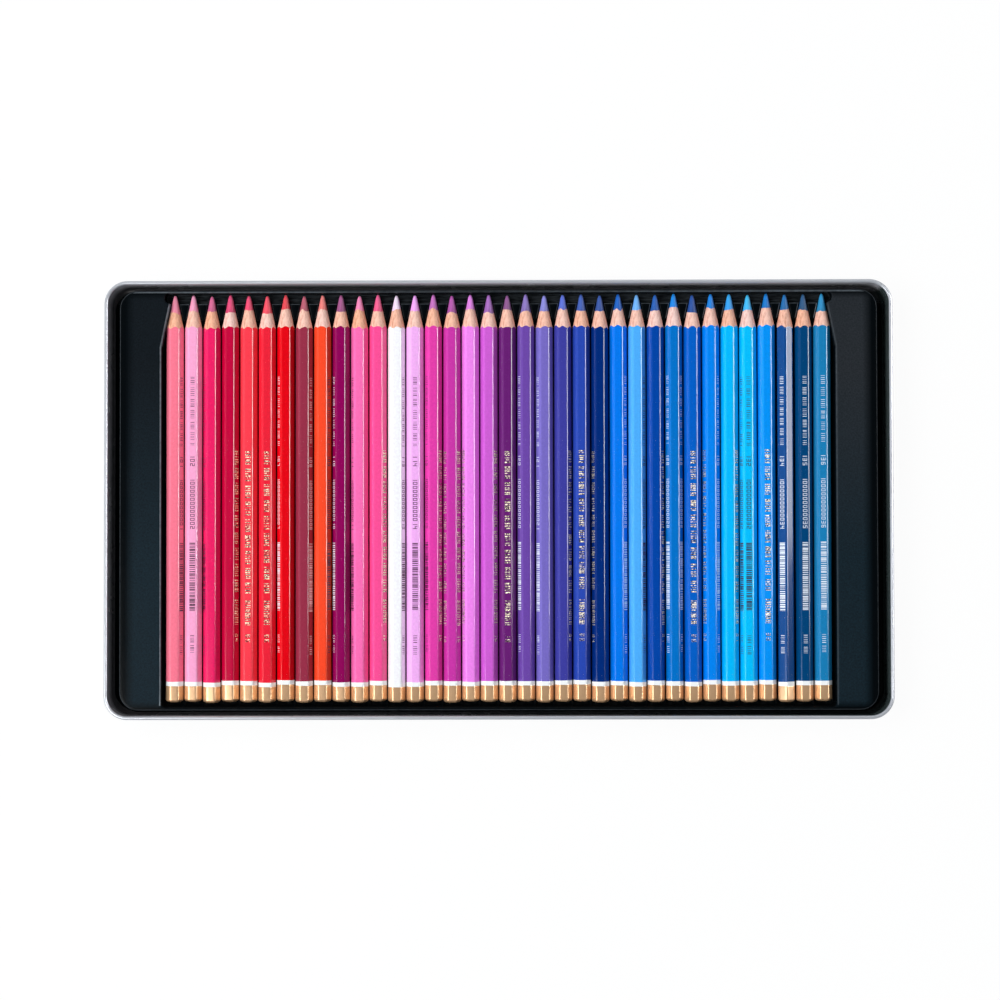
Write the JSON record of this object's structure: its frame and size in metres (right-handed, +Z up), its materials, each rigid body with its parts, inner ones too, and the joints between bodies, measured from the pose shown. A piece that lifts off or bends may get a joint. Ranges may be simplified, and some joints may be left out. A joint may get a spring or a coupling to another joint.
{
  "type": "pencil tin",
  "caption": "Flat open metal tin with a rolled rim, holding a black formed insert and a row of sharpened hexagonal coloured pencils.",
  "frame": {"origin": "middle of the tin's underside, on the surface it stands on", "axes": "+X along the tin's length, across the pencils; +Y along the pencils, towards their points; +Z up"},
  "size_m": [0.3358, 0.187, 0.015],
  "materials": {
    "tinplate": "bright tinplate, satin rolled rim",
    "black_lacquer": "satin black lacquer on the inside of the tin",
    "formed_black": "black formed sheet, satin shelves and glossy walls",
    "bare_wood": "sharpened bare wood with fine grain",
    "gold_dip": "gold dip, glossy",
    "white_dip": "white dip ring, glossy",
    "foil_print": "hot-foil marks",
    "ink_print": "printed marks",
    "lacquer_01": "glossy coloured lacquer on a wooden barrel",
    "lacquer_02": "glossy coloured lacquer on a wooden barrel",
    "lacquer_03": "glossy coloured lacquer on a wooden barrel",
    "lacquer_04": "glossy coloured lacquer on a wooden barrel",
    "lacquer_05": "glossy coloured lacquer on a wooden barrel",
    "lacquer_06": "glossy coloured lacquer on a wooden barrel",
    "lacquer_07": "glossy coloured lacquer on a wooden barrel",
    "lacquer_08": "glossy coloured lacquer on a wooden barrel",
    "lacquer_09": "glossy coloured lacquer on a wooden barrel",
    "lacquer_10": "glossy coloured lacquer on a wooden barrel",
    "lacquer_11": "glossy coloured lacquer on a wooden barrel",
    "lacquer_12": "glossy coloured lacquer on a wooden barrel",
    "lacquer_13": "glossy coloured lacquer on a wooden barrel",
    "lacquer_14": "glossy coloured lacquer on a wooden barrel",
    "lacquer_15": "glossy coloured lacquer on a wooden barrel",
    "lacquer_16": "glossy coloured lacquer on a wooden barrel",
    "lacquer_17": "glossy coloured lacquer on a wooden barrel",
    "lacquer_18": "glossy coloured lacquer on a wooden barrel",
    "lacquer_19": "glossy coloured lacquer on a wooden barrel",
    "lacquer_20": "glossy coloured lacquer on a wooden barrel",
    "lacquer_21": "glossy coloured lacquer on a wooden barrel",
    "lacquer_22": "glossy coloured lacquer on a wooden barrel",
    "lacquer_23": "glossy coloured lacquer on a wooden barrel",
    "lacquer_24": "glossy coloured lacquer on a wooden barrel",
    "lacquer_25": "glossy coloured lacquer on a wooden barrel",
    "lacquer_26": "glossy coloured lacquer on a wooden barrel",
    "lacquer_27": "glossy coloured lacquer on a wooden barrel",
    "lacquer_28": "glossy coloured lacquer on a wooden barrel",
    "lacquer_29": "glossy coloured lacquer on a wooden barrel",
    "lacquer_30": "glossy coloured lacquer on a wooden barrel",
    "lacquer_31": "glossy coloured lacquer on a wooden barrel",
    "lacquer_32": "glossy coloured lacquer on a wooden barrel",
    "lacquer_33": "glossy coloured lacquer on a wooden barrel",
    "lacquer_34": "glossy coloured lacquer on a wooden barrel",
    "lacquer_35": "glossy coloured lacquer on a wooden barrel",
    "lacquer_36": "glossy coloured lacquer on a wooden barrel"
  },
  "bodies": {
    "tin_base": {"tin_base": "tinplate"},
    "insert_tray": {"insert_tray": "formed_black"},
    "pencil_01": {"pencil_01": "lacquer_01"},
    "pencil_02": {"pencil_02": "lacquer_02"},
    "pencil_03": {"pencil_03": "lacquer_03"},
    "pencil_04": {"pencil_04": "lacquer_04"},
    "pencil_05": {"pencil_05": "lacquer_05"},
    "pencil_06": {"pencil_06": "lacquer_06"},
    "pencil_07": {"pencil_07": "lacquer_07"},
    "pencil_08": {"pencil_08": "lacquer_08"},
    "pencil_09": {"pencil_09": "lacquer_09"},
    "pencil_10": {"pencil_10": "lacquer_10"},
    "pencil_11": {"pencil_11": "lacquer_11"},
    "pencil_12": {"pencil_12": "lacquer_12"},
    "pencil_13": {"pencil_13": "lacquer_13"},
    "pencil_14": {"pencil_14": "lacquer_14"},
    "pencil_15": {"pencil_15": "lacquer_15"},
    "pencil_16": {"pencil_16": "lacquer_16"},
    "pencil_17": {"pencil_17": "lacquer_17"},
    "pencil_18": {"pencil_18": "lacquer_18"},
    "pencil_19": {"pencil_19": "lacquer_19"},
    "pencil_20": {"pencil_20": "lacquer_20"},
    "pencil_21": {"pencil_21": "lacquer_21"},
    "pencil_22": {"pencil_22": "lacquer_22"},
    "pencil_23": {"pencil_23": "lacquer_23"},
    "pencil_24": {"pencil_24": "lacquer_24"},
    "pencil_25": {"pencil_25": "lacquer_25"},
    "pencil_26": {"pencil_26": "lacquer_26"},
    "pencil_27": {"pencil_27": "lacquer_27"},
    "pencil_28": {"pencil_28": "lacquer_28"},
    "pencil_29": {"pencil_29": "lacquer_29"},
    "pencil_30": {"pencil_30": "lacquer_30"},
    "pencil_31": {"pencil_31": "lacquer_31"},
    "pencil_32": {"pencil_32": "lacquer_32"},
    "pencil_33": {"pencil_33": "lacquer_33"},
    "pencil_34": {"pencil_34": "lacquer_34"},
    "pencil_35": {"pencil_35": "lacquer_35"},
    "pencil_36": {"pencil_36": "lacquer_36"}
  },
  "joints": [
    {"name": "insert_lift", "type": "slide", "parent": "tin_base", "child": "insert_tray", "axis": [0, 0, 1], "range_m": [0, 0.025]},
    {"name": "pencil_01_lift", "type": "slide", "parent": "insert_tray", "child": "pencil_01", "axis": [0, 0, 1], "range_m": [0, 0.025]},
    {"name": "pencil_02_lift", "type": "slide", "parent": "insert_tray", "child": "pencil_02", "axis": [0, 0, 1], "range_m": [0, 0.025]},
    {"name": "pencil_03_lift", "type": "slide", "parent": "insert_tray", "child": "pencil_03", "axis": [0, 0, 1], "range_m": [0, 0.025]},
    {"name": "pencil_04_lift", "type": "slide", "parent": "insert_tray", "child": "pencil_04", "axis": [0, 0, 1], "range_m": [0, 0.025]},
    {"name": "pencil_05_lift", "type": "slide", "parent": "insert_tray", "child": "pencil_05", "axis": [0, 0, 1], "range_m": [0, 0.025]},
    {"name": "pencil_06_lift", "type": "slide", "parent": "insert_tray", "child": "pencil_06", "axis": [0, 0, 1], "range_m": [0, 0.025]},
    {"name": "pencil_07_lift", "type": "slide", "parent": "insert_tray", "child": "pencil_07", "axis": [0, 0, 1], "range_m": [0, 0.025]},
    {"name": "pencil_08_lift", "type": "slide", "parent": "insert_tray", "child": "pencil_08", "axis": [0, 0, 1], "range_m": [0, 0.025]},
    {"name": "pencil_09_lift", "type": "slide", "parent": "insert_tray", "child": "pencil_09", "axis": [0, 0, 1], "range_m": [0, 0.025]},
    {"name": "pencil_10_lift", "type": "slide", "parent": "insert_tray", "child": "pencil_10", "axis": [0, 0, 1], "range_m": [0, 0.025]},
    {"name": "pencil_11_lift", "type": "slide", "parent": "insert_tray", "child": "pencil_11", "axis": [0, 0, 1], "range_m": [0, 0.025]},
    {"name": "pencil_12_lift", "type": "slide", "parent": "insert_tray", "child": "pencil_12", "axis": [0, 0, 1], "range_m": [0, 0.025]},
    {"name": "pencil_13_lift", "type": "slide", "parent": "insert_tray", "child": "pencil_13", "axis": [0, 0, 1], "range_m": [0, 0.025]},
    {"name": "pencil_14_lift", "type": "slide", "parent": "insert_tray", "child": "pencil_14", "axis": [0, 0, 1], "range_m": [0, 0.025]},
    {"name": "pencil_15_lift", "type": "slide", "parent": "insert_tray", "child": "pencil_15", "axis": [0, 0, 1], "range_m": [0, 0.025]},
    {"name": "pencil_16_lift", "type": "slide", "parent": "insert_tray", "child": "pencil_16", "axis": [0, 0, 1], "range_m": [0, 0.025]},
    {"name": "pencil_17_lift", "type": "slide", "parent": "insert_tray", "child": "pencil_17", "axis": [0, 0, 1], "range_m": [0, 0.025]},
    {"name": "pencil_18_lift", "type": "slide", "parent": "insert_tray", "child": "pencil_18", "axis": [0, 0, 1], "range_m": [0, 0.025]},
    {"name": "pencil_19_lift", "type": "slide", "parent": "insert_tray", "child": "pencil_19", "axis": [0, 0, 1], "range_m": [0, 0.025]},
    {"name": "pencil_20_lift", "type": "slide", "parent": "insert_tray", "child": "pencil_20", "axis": [0, 0, 1], "range_m": [0, 0.025]},
    {"name": "pencil_21_lift", "type": "slide", "parent": "insert_tray", "child": "pencil_21", "axis": [0, 0, 1], "range_m": [0, 0.025]},
    {"name": "pencil_22_lift", "type": "slide", "parent": "insert_tray", "child": "pencil_22", "axis": [0, 0, 1], "range_m": [0, 0.025]},
    {"name": "pencil_23_lift", "type": "slide", "parent": "insert_tray", "child": "pencil_23", "axis": [0, 0, 1], "range_m": [0, 0.025]},
    {"name": "pencil_24_lift", "type": "slide", "parent": "insert_tray", "child": "pencil_24", "axis": [0, 0, 1], "range_m": [0, 0.025]},
    {"name": "pencil_25_lift", "type": "slide", "parent": "insert_tray", "child": "pencil_25", "axis": [0, 0, 1], "range_m": [0, 0.025]},
    {"name": "pencil_26_lift", "type": "slide", "parent": "insert_tray", "child": "pencil_26", "axis": [0, 0, 1], "range_m": [0, 0.025]},
    {"name": "pencil_27_lift", "type": "slide", "parent": "insert_tray", "child": "pencil_27", "axis": [0, 0, 1], "range_m": [0, 0.025]},
    {"name": "pencil_28_lift", "type": "slide", "parent": "insert_tray", "child": "pencil_28", "axis": [0, 0, 1], "range_m": [0, 0.025]},
    {"name": "pencil_29_lift", "type": "slide", "parent": "insert_tray", "child": "pencil_29", "axis": [0, 0, 1], "range_m": [0, 0.025]},
    {"name": "pencil_30_lift", "type": "slide", "parent": "insert_tray", "child": "pencil_30", "axis": [0, 0, 1], "range_m": [0, 0.025]},
    {"name": "pencil_31_lift", "type": "slide", "parent": "insert_tray", "child": "pencil_31", "axis": [0, 0, 1], "range_m": [0, 0.025]},
    {"name": "pencil_32_lift", "type": "slide", "parent": "insert_tray", "child": "pencil_32", "axis": [0, 0, 1], "range_m": [0, 0.025]},
    {"name": "pencil_33_lift", "type": "slide", "parent": "insert_tray", "child": "pencil_33", "axis": [0, 0, 1], "range_m": [0, 0.025]},
    {"name": "pencil_34_lift", "type": "slide", "parent": "insert_tray", "child": "pencil_34", "axis": [0, 0, 1], "range_m": [0, 0.025]},
    {"name": "pencil_35_lift", "type": "slide", "parent": "insert_tray", "child": "pencil_35", "axis": [0, 0, 1], "range_m": [0, 0.025]},
    {"name": "pencil_36_lift", "type": "slide", "parent": "insert_tray", "child": "pencil_36", "axis": [0, 0, 1], "range_m": [0, 0.025]}
  ]
}
